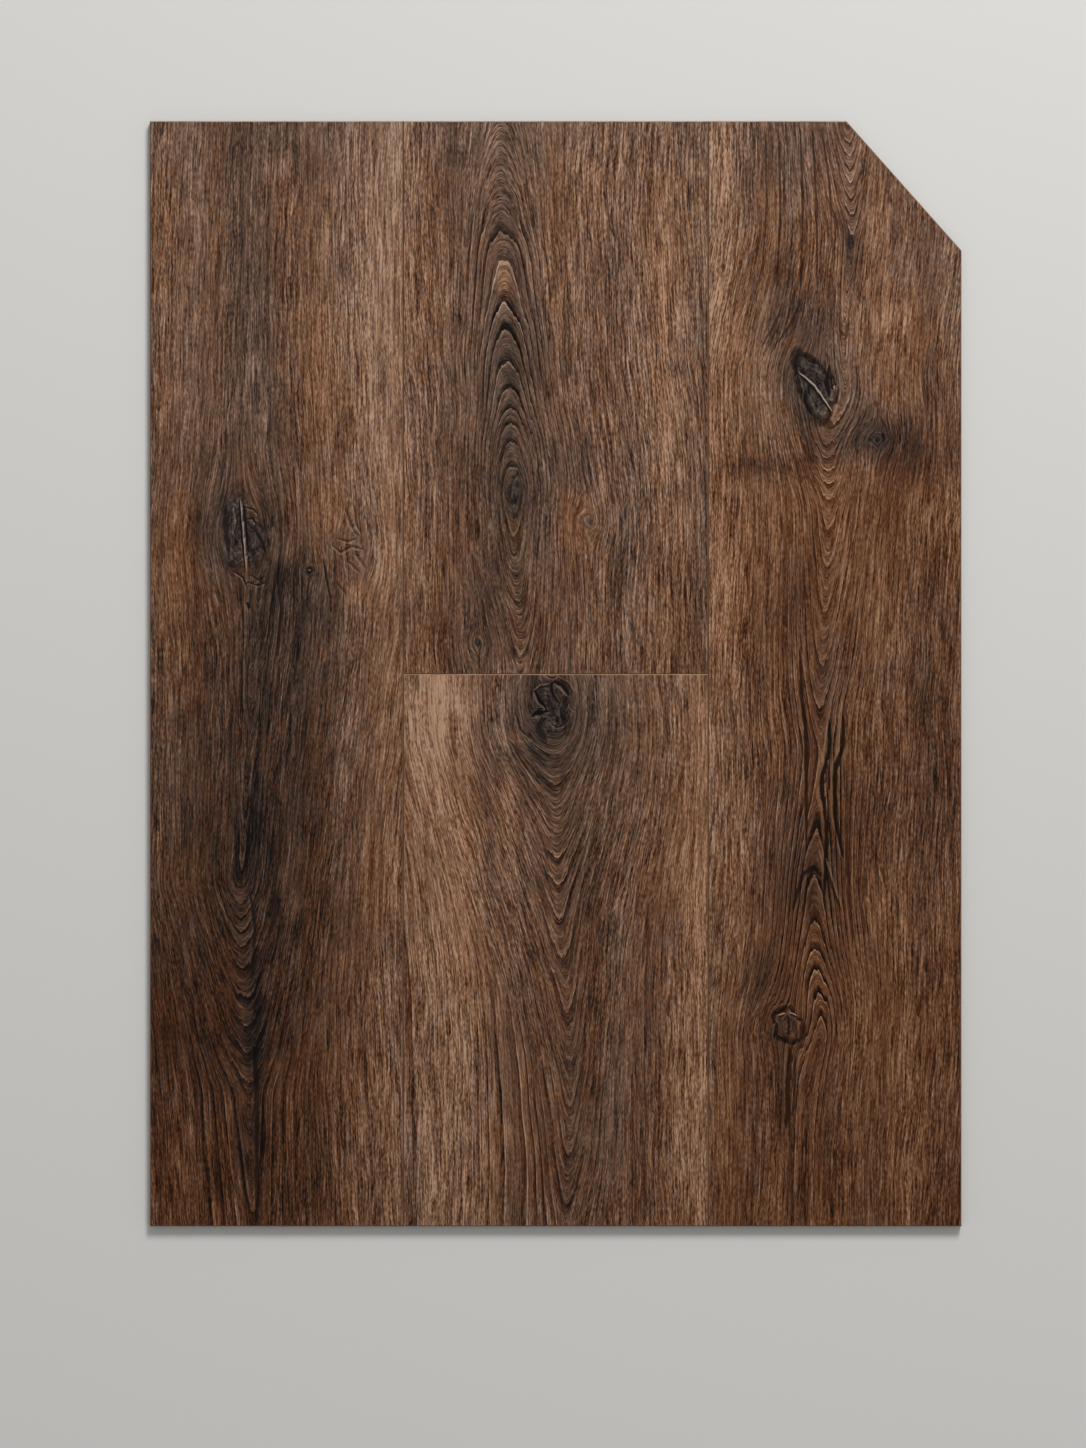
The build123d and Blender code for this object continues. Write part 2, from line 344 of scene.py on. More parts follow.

# %% [markdown]
# ## The right plank's print
# The warmest plank. A knot whose crack has a painted highlight lies in its upper part and a smaller one low
# down. Above the middle the arches point down, below it they point up, and between them long dark cracks
# braid.

# %% The right plank's print
PRINTS["right_plank"] = dict(
    seed=41.0,
    step=3.4,
    stray=0.35,
    spine=[
        (326, 172, -70, 28, 5), (262, 172, -46, 26, 5), (180, 162, -42, 24, 6), (145, 162, -40, 22, 6),
        (100, 162, -22, 22, 5), (-20, 156, -3, 24, 4), (-45, 157, 0, 24, 4), (-70, 156, -3, 24, 6),
        (-99, 154, -7, 26, 7), (-121, 153, -10.4, 26, 7), (-144, 153, -13.8, 26, 7),
        (-162, 153, -17.2, 26, 7), (-173, 153, -20.6, 26, 7), (-197, 152, -27.4, 26, 7),
        (-215, 151, -31, 26, 7), (-326, 146, -32, 26, 7),
    ],
    rings=[
        (326, 1.5), (262, 1.3), (205, 0.5), (150, 0.9), (90, 1.0), (0, 1.1), (-60, 1.5),
        (-110, 1.8), (-135, 2.4), (-190, 2.4), (-215, 1.5), (-260, 0.7), (-326, 0.5),
    ],
    bold=[],
    levels=[
        (326, 0.57, -0.3), (250, 0.57, 0.0), (150, 0.54, 0.4), (80, 0.52, 0.9),
        (0, 0.49, 0.6), (-100, 0.45, 0.5), (-200, 0.45, 1.0), (-326, 0.42, 1.0),
    ],
    knots=[
        (154, 169, 11, 19, 0.2, 17, 0.6, 0.9),
        (136.8, -208, 8, 9.5, 0.0, 14, 0.15, 1.0),
        (190, 138, 5, 5, 0.0, 10, 0.3, 0.1),
    ],
    cracks=[
        ([(163, 154.5), (152.4, 169.8), (143.6, 177.6)], 1.0, 1.0, 0.9),
        # a painted glint beside the knot's crack, listed as a short crack
        ([(164.2, 167.5), (163.6, 171)], 0.7, 1.0, 0.7),
        ([(161, 182), (158.5, 172), (161, 163)], 1.5, 0.1, 0.8),
        ([(147, 168), (146, 160), (151, 152)], 1.3, 0.2, 0.7),
        ([(123, 322), (124, 280), (121.5, 236)], 0.8, 0.1, 0.4),
        ([(131, 322), (132, 275), (130, 228)], 0.8, 0.1, 0.45),
        ([(144, 322), (145, 275), (144, 226)], 0.9, 0.1, 0.45),
        ([(151, 322), (153, 280), (154, 232)], 0.9, 0.1, 0.45),
        ([(156, 322), (161, 290), (163, 246)], 0.8, 0.1, 0.4),
        ([(134, 219), (127, 204), (121, 193)], 1.0, 0.1, 0.45),
        ([(145, 222), (138, 207), (129, 194)], 1.0, 0.1, 0.45),
        # two painted glints on the small knot's top lobes, listed as short cracks
        ([(135.6, -200.6), (131, -202)], 0.7, 1.0, 0.6),
        ([(142.6, -202), (138, -200.4)], 0.7, 1.0, 0.6),
        ([(136.8, -202), (136.6, -213)], 1.0, 0.1, 0.7),
        ([(137.5, -221), (136, -240), (135, -268)], 2.2, 0.2, 0.6),
        ([(141, -226), (140, -245), (139, -262)], 1.2, 0.2, 0.5),
        (
            [(161, -28), (160, -46), (156, -60), (155.6, -69), (158, -80), (158.8, -97), (157.8, -132)],
            1.9, 0.3, 0.9,
        ),
        (
            [(169, -24), (168.6, -42), (163.8, -56), (163.4, -72), (164, -86), (168.8, -108)],
            1.6, 0.3, 0.85,
        ),
        ([(161.4, -50), (160.6, -66), (159.8, -86)], 1.0, 0.1, 0.7),
        ([(143.4, 14), (144.2, -12), (146.4, -32), (146.8, -60), (147.4, -104)], 1.4, 0.2, 0.7),
        ([(140.6, -140), (147, -119), (152, -115.5), (157, -121)], 1.6, 0.15, 0.7),
        ([(169, -140), (163.6, -124), (158.6, -107)], 1.1, 0.4, 0.6),
        ([(171, -100), (172, -130), (175, -160)], 1.1, 0.2, 0.5),
    ],
    patches=[
        (96, 190, 13, 200, 0.15, 0.3), (96, -60, 14, 120, 0.14, -0.2), (94, -250, 13, 120, 0.13, -0.5),
        (139, 214, 15, 22, -0.16, -0.8), (138, 305, 9, 26, -0.07, -0.6), (170, 252, 4.5, 18, -0.22, -0.8),
        (153, 172, 13, 21, -0.15, -1.6), (182, 141, 24, 15, -0.26, -1.3), (208, 122, 15, 14, -0.18, -0.6),
        (125, 122, 20, 7, -0.24, -0.3), (165, 98, 38, 16, 0.0, 0.8), (160, 128, 12, 8, -0.1, -0.3),
        (198, 215, 15, 46, 0.06, 0.5), (112, 198, 10, 24, 0.08, 0.7), (156, 96, 14, 12, 0.02, 0.7),
        (188, 34, 8, 40, 0.06, 0.4), (108, 54, 12, 36, 0.08, 0.5), (224, -45, 15, 80, -0.09, -0.3),
        (154, -40, 14, 80, -0.09, -0.2), (145, -118, 14, 26, -0.13, -0.4), (124, -180, 13, 22, -0.11, -0.7),
        (137, -208, 11, 13, -0.08, -0.6), (137, -245, 5, 26, -0.12, -0.4), (138, -262, 7, 40, -0.06, -0.2),
        (197, -160, 15, 40, 0.07, 0.2), (196, -250, 18, 50, 0.05, 0.4), (237, -230, 7, 110, -0.08, -0.2),
        (116, -75, 10, 45, 0.11, -0.2), (118, 270, 12, 60, -0.07, 0.0), (153, 209, 12, 15, -0.13, -0.4),
        (180, -95, 16, 50, -0.1, 0.0), (151, -180, 13, 60, -0.09, 0.0), (218, 15, 14, 90, -0.06, 0.0),
        (117, -265, 10, 55, 0.0, -0.8),
    ],
)
count_features("right_plank")
print("prints described:", ", ".join(PRINTS))

# %% [markdown]
# ## Lines that follow the figure
# The fields below are worked out at each point of a plank's face. The first is where a point lies *across*
# the grain. Lines of equal value of it are the lines of the print, so a shader that reads it gets arches and
# knots for nothing. A knot parts the lines as a stone parts water: the push is strong near it and dies away.

# %% Across the grain
HALF_SPAN = 340
CURVE_SOFT = 10
SLOW_DRIFT = 2.4
QUICK_DRIFT = 0.9


def along_plank(points, column, y):
    """One column of the listed points as a smooth curve along the plank."""
    rows = sorted(points)
    steps = np.arange(-HALF_SPAN, HALF_SPAN + 1.0)
    values = np.interp(steps, [row[0] for row in rows], [row[column] for row in rows])
    window = np.hanning(2 * CURVE_SOFT + 3)
    padded = np.pad(values, CURVE_SOFT + 1, mode="edge")
    return np.interp(y, steps, np.convolve(padded, window / window.sum(), mode="valid"))


def grain_place(x, y, about):
    """Where points lie across the grain, how far from the spine, and their x with the knots' push undone."""
    seed = about["seed"]
    push = np.zeros_like(x)
    for knot_x, knot_y, half_width, half_length, lean, parting, *_ in about["knots"]:
        dx = x - knot_x + lean * (y - knot_y)
        dy = (y - knot_y) * np.sqrt(half_width / half_length)
        push += dx * parting**2 / (dx**2 + dy**2 + parting**2)
    drift = SLOW_DRIFT * drawn_noise(x, y, seed, across=60, along=130)
    drift += QUICK_DRIFT * drawn_noise(x, y, seed + 0.5, across=15, along=32)
    parted = x - push + drift
    spine_x, lift, reach, blunt = [along_plank(about["spine"], column, y) for column in (1, 2, 3, 4)]
    off = parted - spine_x
    return np.sqrt(off**2 + blunt**2) + lift * np.exp(-((off / reach) ** 2)), off, parted


for plank, about in PRINTS.items():
    print(plank, "spine:", len(about["spine"]), "points, one ring every", about["step"], "mm beside it")

# %% [markdown]
# ## Knots and cracks as distances
# A knot's field grows from 0 in its middle to 1 at its rim. A crack's field is the distance from a broken
# line, in half widths that taper to its ends. Its sign says on which side of the crack a point lies. Halfway
# to the next crack the sign may flip, so a crack's marks fade out well before.

# %% Knot and crack fields
KNOT_LOBES = 1.6
KNOT_RAGGED = 0.3
FAR_FROM_KNOTS = 3.0
FAR_FROM_CRACKS = 9.0
CRACK_TIP = 0.25
CRACK_FADE = (2.0, 3.5)


def knot_fields(x, y, about):
    """How near a point is to a knot, and that knot's darkness, outline and size."""
    nearest = np.full_like(x, FAR_FROM_KNOTS)
    darkness, outline, size = np.zeros_like(x), np.zeros_like(x), np.ones_like(x)
    for knot_x, knot_y, half_width, half_length, lean, _, dark, rim in about["knots"]:
        dx = (x - knot_x + lean * (y - knot_y)) / half_width
        dy = (y - knot_y) / half_length
        angle = np.arctan2(dy, dx)
        lobe_x = KNOT_LOBES * np.cos(angle) + knot_x
        lobe_y = KNOT_LOBES * np.sin(angle) + knot_y
        radius = np.hypot(dx, dy) / (1.0 + KNOT_RAGGED * soft_noise(lobe_x, lobe_y, about["seed"]))
        closer = radius < nearest
        nearest = np.where(closer, radius, nearest)
        darkness = np.where(closer, dark, darkness)
        outline = np.where(closer, rim, outline)
        size = np.where(closer, half_width, size)
    return nearest, darkness, outline, size


def crack_distance(x, y, cracks):
    """Distance to the nearest crack in its half widths, with a sign, how strong its painted highlight is, and
    how dark its gap is.
    """
    nearest = np.full_like(x, FAR_FROM_CRACKS)
    painted_highlight, dark = np.zeros_like(x), np.zeros_like(x)
    for points, half_width, painted_edge_highlight, gap_dark in cracks:
        count = len(points) - 1
        for index, ((ax, ay), (bx, by)) in enumerate(zip(points, points[1:])):
            run = np.hypot(bx - ax, by - ay)
            along = ((x - ax) * (bx - ax) + (y - ay) * (by - ay)) / run**2
            held = np.clip(along, 0.0, 1.0)
            side = ((x - ax) * (by - ay) - (y - ay) * (bx - ax)) / run
            reach = np.hypot(x - ax - held * (bx - ax), y - ay - held * (by - ay))
            place = (index + held) / count
            swell = np.sqrt(np.clip(4.0 * place * (1.0 - place), 0.0, 1.0))
            taper = half_width * (CRACK_TIP + (1.0 - CRACK_TIP) * swell)
            signed = np.where(side < 0, -reach, reach) / taper
            closer = np.abs(signed) < np.abs(nearest)
            nearest = np.where(closer, signed, nearest)
            painted_highlight = np.where(closer, painted_edge_highlight, painted_highlight)
            dark = np.where(closer, gap_dark, dark)
    near = 1.0 - soft_step(*CRACK_FADE, np.abs(nearest))
    return nearest, painted_highlight * near, dark * near


for feature in ("knots", "cracks"):
    print(feature, sum(len(about[feature]) for about in PRINTS.values()))

# %% [markdown]
# ## Rings and shades
# The ring field counts the rings across the grain. Ring lines are bold near the spine and in a few areas
# beside it, and they fade where they would be very wide or would crowd. The shade is the plank's own level,
# some noise drawn out along the grain, and patches with frayed borders.

# %% Ring and shade fields
RAGGED = 1.7
RING_BASE = 0.25
FLAT_GRAIN = (0.03, 0.14)
STEEP_GRAIN = (1.0, 2.4)
CROWDING_LOSS = 0.7
FRAYING = 0.45


def spot_spread(parted, y, spot):
    """Squared distance from the middle of a spot, counted in its half width and half length."""
    spot_x, spot_y, half_width, half_length = spot
    return ((parted - spot_x) / half_width) ** 2 + ((y - spot_y) / half_length) ** 2


def ring_fields(y, across, off, parted, steep_x, steep_y, about):
    """Which ring a point lies in, how bold the ring lines are there, and how ragged."""
    steep = np.hypot(steep_x, steep_y)
    near_spine = np.exp(-((off / along_plank(about["spine"], 3, y)) ** 2))
    rings = RING_BASE + along_plank(about["rings"], 1, y) * near_spine
    for *spot, strength in about["bold"]:
        rings = rings + strength * np.exp(-spot_spread(parted, y, spot))
    crowded = CROWDING_LOSS * soft_step(*STEEP_GRAIN, steep)
    rings = rings * soft_step(*FLAT_GRAIN, steep) * (1.0 - crowded)
    turn = across / about["step"]
    phase = turn + about["stray"] * soft_noise(turn / 3, y / 300, about["seed"] + 11)
    ragged = RAGGED * (np.abs(steep_y) + 0.1 * np.abs(steep_x)) / about["step"]
    return phase, rings, ragged


def shade_fields(x, y, off, parted, about):
    """How light and how warm the print is."""
    seed = about["seed"]
    side = off / 30 + seed
    tone = along_plank(about["levels"], 1, y)
    tone += 0.06 * drawn_noise(parted, y, 0.5 * side + 21, across=4, along=110)
    tone += 0.055 * drawn_noise(parted, y, 0.3 * side + 31, across=12, along=190)
    tone += 0.05 * drawn_noise(x, y, seed + 8, across=18, along=30)
    warmth = along_plank(about["levels"], 2, y)
    warmth += 0.35 * drawn_noise(parted, y, 0.4 * side + 50, across=9, along=90)
    warmth += 0.35 * drawn_noise(x, y, seed + 51, across=18, along=40)
    frayed = 1.0 + FRAYING * drawn_noise(parted, y, seed + 60, across=7, along=22)
    for *spot, lightness, warm in about["patches"]:
        fall = np.exp(-spot_spread(parted, y, spot) * frayed)
        tone += lightness * fall
        warmth += warm * fall
    return tone, warmth


for feature in ("bold", "patches"):
    print(feature, "areas:", sum(len(about[feature]) for about in PRINTS.values()))

# %% [markdown]
# ## All fields of a plank
# Squeeze says how closely the lines crowd, in doublings. The shader needs it to keep the fibres equally fine
# everywhere. It comes from the slope of the grain field, which a small step to each side measures.

# %% Fields
PROBE = 0.3


def print_fields(x, y, plank):
    """Everything that the shader and the relief need at these points, in millimetres."""
    about = PRINTS[plank]
    seed = about["seed"]
    across, off, parted = grain_place(x, y, about)
    steep_x = (grain_place(x + PROBE, y, about)[0] - across) / PROBE
    steep_y = (grain_place(x, y + PROBE, about)[0] - across) / PROBE
    steep = np.hypot(steep_x, steep_y)
    wobble = 0.45 * drawn_noise(x, y, seed + 2, across=5.5, along=15)
    wobble += 0.22 * drawn_noise(x, y, seed + 3, across=2.6, along=7)
    phase, rings, ragged = ring_fields(y, across, off, parted, steep_x, steep_y, about)
    tone, warmth = shade_fields(x, y, off, parted, about)
    knot_radius, knot_dark, knot_rim, knot_size = knot_fields(x, y, about)
    crack, crack_painted_highlight, crack_dark = crack_distance(x, y, about["cracks"])
    return dict(
        across=across + wobble * np.clip(steep, 0.1, 2.5),
        parted=parted,
        off=off,
        squeeze=np.log2(np.clip(steep, 0.06, 5.0)),
        phase=phase,
        ragged=ragged,
        rings=rings,
        tone=tone,
        warmth=warmth,
        knot_radius=knot_radius,
        knot_dark=knot_dark,
        knot_rim=knot_rim,
        knot_size=knot_size,
        crack=crack,
        crack_painted_highlight=crack_painted_highlight,
        crack_dark=crack_dark,
        seed=seed,
    )


print("fields:", ", ".join(print_fields(np.zeros(1), np.zeros(1), "lower_middle_plank")))

# %% [markdown]
# ## Cutting the face into cells
# The CAD planks have one flat face each. To carry the print's fields and the pressed relief, the face needs
# many points. `subdivide_edges` does it in two goes: first the edges that run across the plank, which leaves
# strips, and then the long edges of the strips. The clipped plank's face is first cut level with its corner,
# because only four-sided faces divide into a clean grid. The rim stays in place, so the solid stays closed.

# %% Cells
CELL_ACROSS = 0.00088
CELL_ALONG = 0.00135
LEVEL_PLAY = 1e-4
SAME_POINT = 1e-6


def face_parts(bm):
    """The faces of the plank's printed side."""
    flat = [face for face in bm.faces if face.normal.z > 0.999]
    return [face for face in flat if face.calc_center_median().z > FACE_HEIGHT - LEVEL_PLAY]


def face_edges(bm, runs_along):
    """The edges of the printed side that run along the plank, or those that run across it."""
    edges = {edge for face in face_parts(bm) for edge in face.edges}
    found = []
    for edge in edges:
        run = edge.verts[1].co - edge.verts[0].co
        if (abs(run.y) > abs(run.x)) == runs_along:
            found.append(edge)
    return found


def edge_level(edge):
    """How far along the plank the middle of an edge lies."""
    return (edge.verts[0].co.y + edge.verts[1].co.y) / 2


def cut_level(bm, corners):
    """Cuts the clipped face in two, level with the lower end of its clipped corner."""
    right = max(vert.co.x for vert in corners)
    level = max(vert.co.y for vert in corners if vert.co.x > right - LEVEL_PLAY / 10)
    face = face_parts(bm)[0]
    plane = dict(plane_co=(0.0, level, 0.0), plane_no=(0.0, 1.0, 0.0))
    bmesh.ops.bisect_plane(bm, geom=[face, *face.edges, *face.verts], dist=SAME_POINT, **plane)


def cut_cells(bm):
    corners = {vert for face in face_parts(bm) for vert in face.verts}
    if len(corners) > 4:
        cut_level(bm, corners)
    across = face_edges(bm, runs_along=False)
    cuts = round(max(edge.calc_length() for edge in across) / CELL_ACROSS) - 1
    bmesh.ops.subdivide_edges(bm, edges=across, cuts=cuts, use_grid_fill=True)
    along = face_edges(bm, runs_along=True)
    for level in sorted({round(edge_level(edge), 4) for edge in along}):
        part = [edge for edge in along if edge.is_valid and abs(edge_level(edge) - level) < LEVEL_PLAY]
        tall = max(abs(edge.verts[1].co.y - edge.verts[0].co.y) for edge in part)
        bmesh.ops.subdivide_edges(bm, edges=part, cuts=round(tall / CELL_ALONG) - 1, use_grid_fill=True)


print("cells of about", CELL_ACROSS, "by", CELL_ALONG, "m")

# %% [markdown]
# ## Pressing the grain
# The relief only goes down from the CAD face, by a tenth or two of a millimetre in the grain and up to half
# a millimetre in a crack. It fades out at the rim, so that the edges stay straight. A bump in the shader
# looks much the same from above, but it leaves the mesh flat.

# %% Pressed relief
RIM_FADE = 1.6
STREAK_DEPTH = 0.07
RING_DEPTH = 0.10
KNOT_DEPTH = 0.12
CRACK_DEPTH = 0.25
WAVE_DEPTH = 0.03


def rim_distance(x, y, corners):
    """Distance in millimetres from the outline of the face, which is convex."""
    nearest = np.full_like(x, 1e3)
    for (ax, ay), (bx, by) in zip(corners, corners[1:] + corners[:1]):
        run = np.hypot(bx - ax, by - ay)
        nearest = np.minimum(nearest, ((bx - ax) * (y - ay) - (by - ay) * (x - ax)) / run)
    return nearest


def press_depth(fields, x, y):
    """How deep the grain is pressed, in millimetres."""
    seed = fields["seed"]
    streak = 0.5 - 0.5 * drawn_noise(fields["parted"], y, seed, across=1.7, along=22)
    valley = 0.5 + 0.5 * np.cos(2 * np.pi * fields["phase"])
    core = 1.0 - soft_step(0.6, 1.15, fields["knot_radius"])
    gap = fields["crack_dark"] * (1.0 - soft_step(0.6, 1.6, np.abs(fields["crack"])))
    depth = STREAK_DEPTH * streak
    depth += RING_DEPTH * np.clip(fields["rings"], 0.0, 1.0) * valley
    depth += KNOT_DEPTH * core
    depth += CRACK_DEPTH * gap
    return depth + WAVE_DEPTH * (1.0 + drawn_noise(x, y, seed + 80, across=9, along=30))


print("a crack is pressed", CRACK_DEPTH, "mm deeper than the grain beside it")

# %% [markdown]
# ## Dressing a plank
# A copy of each CAD plank is merged, cut into cells and pressed. The fields go into the mesh as attributes,
# which a shader can read at each point, and each face gets the number of its finish.

# %% Dressing a plank
MILLIMETRES = 1000
PRINTED, EDGE, CORE, BACK, PAINTED_HIGHLIGHT_BEVEL = range(5)


def store(mesh, name, *columns):
    """Keeps up to three fields as one attribute of the mesh's points."""
    values = np.zeros((len(mesh.vertices), 3), np.float32)
    for index, column in enumerate(columns):
        values[:, index] = column
    mesh.attributes.new(name, "FLOAT_VECTOR", "POINT").data.foreach_set("vector", values.ravel())


def finish_number(face, printed):
    """Which of the finishes a face gets. The bevels slope, and the far end's bevel, which faces the lamp,
    gets a pale painted highlight.
    """
    if printed:
        return PRINTED
    if face.normal.z > 0.2:
        # bevels that face the lamp get a pale painted highlight
        return PAINTED_HIGHLIGHT_BEVEL if face.normal.y > 0.5 else EDGE
    return BACK if face.normal.z < -0.99 else CORE


def plank_mesh(name):
    """The plank with its face cut into cells, which of its points are printed, and the face's outline."""
    bm = bmesh.new()
    bm.from_mesh(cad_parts[name].data)
    bmesh.ops.remove_doubles(bm, verts=bm.verts, dist=SAME_POINT)
    bmesh.ops.dissolve_limit(bm, angle_limit=math.radians(0.5), verts=bm.verts, edges=bm.edges)
    outline = [(vert.co.x * MILLIMETRES, vert.co.y * MILLIMETRES) for vert in face_parts(bm)[0].verts]
    cut_cells(bm)
    on_face = set(face_parts(bm))
    for face in bm.faces:
        face.smooth = face in on_face
        face.material_index = finish_number(face, face in on_face)
    for edge in bm.edges:
        edge.smooth = all(face in on_face for face in edge.link_faces)
    mesh = bpy.data.meshes.new(name + "_dressed")
    printed = np.array([any(face in on_face for face in vert.link_faces) for vert in bm.verts])
    bm.to_mesh(mesh)
    bm.free()
    return mesh, printed, outline


def dress_plank(name):
    mesh, printed, outline = plank_mesh(name)
    place = np.zeros(len(mesh.vertices) * 3)
    mesh.vertices.foreach_get("co", place)
    place = place.reshape(-1, 3)
    x, y = place[:, 0] * MILLIMETRES, place[:, 1] * MILLIMETRES
    fields = print_fields(x, y, name)
    fade = soft_step(0.0, RIM_FADE, rim_distance(x, y, outline))
    place[:, 2] -= np.where(printed, press_depth(fields, x, y) * fade, 0.0) / MILLIMETRES
    mesh.vertices.foreach_set("co", place.ravel())
    store(mesh, "grain", fields["across"], y, fields["off"])
    store(mesh, "figure", fields["phase"], fields["rings"], fields["squeeze"])
    store(mesh, "shade", fields["tone"], fields["warmth"], fields["knot_size"])
    store(mesh, "knot", fields["knot_radius"], fields["knot_dark"], fields["knot_rim"])
    store(mesh, "crack", fields["crack"], fields["crack_painted_highlight"], fields["crack_dark"])
    store(mesh, "ragged", fields["ragged"])
    piece = bpy.data.objects.new(name + "_dressed", mesh)
    bpy.context.scene.collection.objects.link(piece)
    return piece


planks = {name: dress_plank(name) for name in PRINTS}
for name, piece in planks.items():
    print(name, len(piece.data.polygons), "faces")

# %% [markdown]
# ## Wiring shaders
# These helpers keep the shader cells short. `calc` adds one Math node, `remap` a smooth step between two
# values and `noise` a noise texture on stretched coordinates.

# %% Helpers for shader nodes
NOISE_GAIN = 3.2


def feed(tree, socket, value):
    """Links a socket to another socket, or sets it to a plain value."""
    if isinstance(value, bpy.types.NodeSocket):
        tree.links.new(value, socket)
    else:
        socket.default_value = value


def calc(tree, operation, *values):
    node = tree.nodes.new("ShaderNodeMath")
    node.operation = operation
    for socket, value in zip(node.inputs, values):
        feed(tree, socket, value)
    return node.outputs[0]


def remap(tree, value, low, high, to_low=0.0, to_high=1.0):
    node = tree.nodes.new("ShaderNodeMapRange")
    node.interpolation_type = "SMOOTHSTEP"
    for socket, given in zip(node.inputs, (value, low, high, to_low, to_high)):
        feed(tree, socket, given)
    return node.outputs["Result"]


def noise(tree, vector, stretch, shift=0.0, detail=0.0):
    """Noise from about -1 to 1, on coordinates divided by the two or three lengths in stretch."""
    place = tree.nodes.new("ShaderNodeVectorMath")
    place.operation = "MULTIPLY_ADD"
    feed(tree, place.inputs[0], vector)
    place.inputs[1].default_value = [1.0 / length for length in stretch] + [0.0] * (3 - len(stretch))
    place.inputs[2].default_value = (shift, shift * 0.7, shift * 1.3)
    node = tree.nodes.new("ShaderNodeTexNoise")
    node.noise_dimensions = f"{len(stretch)}D"
    node.inputs["Scale"].default_value = 1.0
    node.inputs["Detail"].default_value = detail
    tree.links.new(place.outputs[0], node.inputs["Vector"])
    return calc(tree, "MULTIPLY_ADD", node.outputs["Fac"], NOISE_GAIN, -NOISE_GAIN / 2)


def new_group(name, inputs, outputs):
    tree = bpy.data.node_groups.new(name, "ShaderNodeTree")
    for label, kind in inputs:
        tree.interface.new_socket(label, in_out="INPUT", socket_type=kind)
    for label in outputs:
        tree.interface.new_socket(label, in_out="OUTPUT", socket_type="NodeSocketFloat")
    return tree, tree.nodes.new("NodeGroupInput"), tree.nodes.new("NodeGroupOutput")


def use_group(tree, group, **values):
    node = tree.nodes.new("ShaderNodeGroup")
    node.node_tree = group
    for label, value in values.items():
        feed(tree, node.inputs[label], value)
    return node


def split(tree, vector):
    node = tree.nodes.new("ShaderNodeSeparateXYZ")
    tree.links.new(vector, node.inputs[0])
    return node.outputs


print("helpers for nodes are ready, noise is spread by", NOISE_GAIN)

# %% [markdown]
# ## Fibres and pores
# Oak is full of fine fibres, of lines where the year's growth starts, and of pores, short dark dashes where
# its vessels are cut open. All are noise on the grain field, narrow across it and drawn out along it. Where
# the figure squeezes the field they would get finer, so they are drawn at two scales, one twice the other,
# and the squeeze field picks and blends them.

# %% Fibre groups
FIBRE_MARKS = ["Fibre", "Relief", "Line", "Pore", "Hue"]
LINE_PITCH = 2.5

fibre_lines, enter, leave = new_group("Fibre lines", [("Grain", "NodeSocketVector")], FIBRE_MARKS)
tree = fibre_lines
grain = enter.outputs["Grain"]
drawn_out = noise(tree, grain, (0.7, 15.0, 10.0), shift=5.1)
fine = calc(tree, "MULTIPLY", noise(tree, grain, (0.6, 2.6, 3.0)), 0.75)
fine = calc(tree, "MULTIPLY_ADD", drawn_out, 0.85, fine)
fine = calc(tree, "MULTIPLY_ADD", noise(tree, grain, (1.5, 40.0, 14.0), shift=3.1), 0.5, fine)
feed(tree, leave.inputs["Fibre"], fine)
feed(tree, leave.inputs["Relief"], drawn_out)
turn = noise(tree, grain, (4.0, 40.0, 20.0), shift=23.1)
turn = calc(tree, "FRACT", calc(tree, "MULTIPLY_ADD", split(tree, grain)[0], 1 / LINE_PITCH, turn))
line = calc(tree, "SUBTRACT", remap(tree, turn, 0.6, 0.95), remap(tree, turn, 0.0, 0.35, 1.0, 0.0))
broken = remap(tree, noise(tree, grain, (5.0, 26.0, 20.0), shift=33.1), -0.6, 0.6)
feed(tree, leave.inputs["Line"], calc(tree, "MULTIPLY", line, broken))
feed(tree, leave.inputs["Pore"], remap(tree, noise(tree, grain, (1.0, 11.0, 9.0), shift=13.1), 0.2, 0.6))
feed(tree, leave.inputs["Hue"], noise(tree, grain, (0.9, 9.0, 9.0), shift=43.1))

fibres, enter, leave = new_group(
    "Oak fibres", [("Grain", "NodeSocketVector"), ("Squeeze", "NodeSocketFloat")], FIBRE_MARKS
)
tree = fibres
across, along, off = split(tree, enter.outputs["Grain"])[:3]
squeeze = enter.outputs["Squeeze"]
coarse = calc(tree, "FLOOR", squeeze)
share = calc(tree, "SUBTRACT", squeeze, coarse)
wide = calc(tree, "POWER", 2.0, calc(tree, "MULTIPLY", coarse, -1.0))
layers = []
for scale in (wide, calc(tree, "MULTIPLY", wide, 0.5)):
    joined = tree.nodes.new("ShaderNodeCombineXYZ")
    for socket, value in zip(joined.inputs, (calc(tree, "MULTIPLY", across, scale), along, off)):
        feed(tree, socket, value)
    layers.append(use_group(tree, fibre_lines, Grain=joined.outputs[0]).outputs)
for label in FIBRE_MARKS:
    step = calc(tree, "SUBTRACT", layers[1][label], layers[0][label])
    feed(tree, leave.inputs[label], calc(tree, "MULTIPLY_ADD", step, share, layers[0][label]))
print("fibre groups:", len(fibre_lines.nodes), "and", len(tree.nodes), "nodes")

# %% [markdown]
# ## Growth rings
# The ring field counts rings. Its fraction is the place inside one ring, from the dark late wood to the pale
# tip, and then it jumps back. Noise that is fine across the plank makes the jump ragged, as where fibres are
# cut. A random number for each ring makes some years bolder than others.

# %% Ring group
RING_DARK = -0.8
RING_PALE = 0.14

